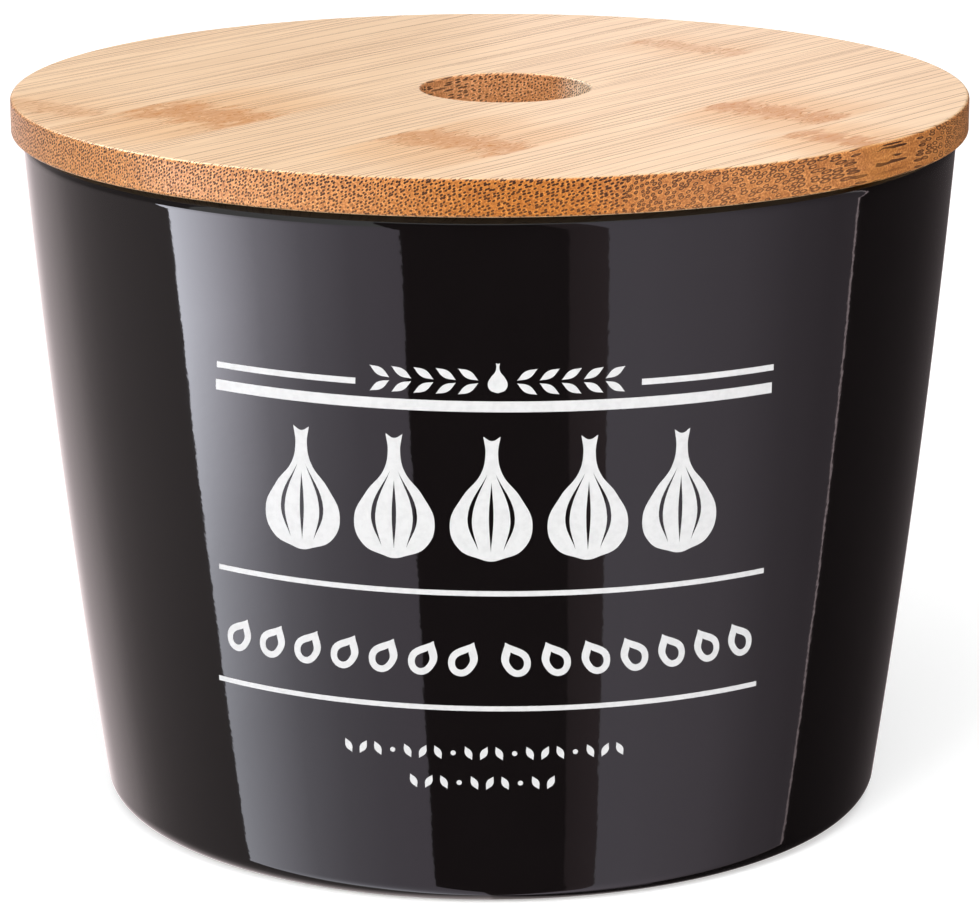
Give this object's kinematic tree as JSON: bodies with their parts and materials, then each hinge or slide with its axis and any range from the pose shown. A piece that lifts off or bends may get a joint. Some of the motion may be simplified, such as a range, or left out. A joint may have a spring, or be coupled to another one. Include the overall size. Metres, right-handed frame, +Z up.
{
  "type": "garlic keeper",
  "caption": "Black glazed ceramic pot, tapered towards its base, with a flat bamboo lift-off lid that has a round finger and air hole.",
  "frame": {"origin": "centre of the foot ring, on the plane that the pot stands on", "axes": "+Z up along the pot's axis, and the printed front of the pot faces -Y"},
  "size_m": [0.14, 0.14, 0.1058],
  "materials": {
    "black_glaze": "glossy black glaze",
    "bamboo": "sanded and oiled bamboo, satin",
    "silicone": "milky silicone, matt",
    "white_print": "white enamel print, fired on the glaze"
  },
  "bodies": {
    "pot": {"pot": "black_glaze"},
    "lid": {"lid_board": "bamboo", "lid_plug": "bamboo", "seal_ring": "silicone"}
  },
  "joints": [
    {"name": "lid_lift", "type": "slide", "parent": "pot", "child": "lid", "axis": [0, 0, 1], "range_m": [0, 0.06]}
  ]
}
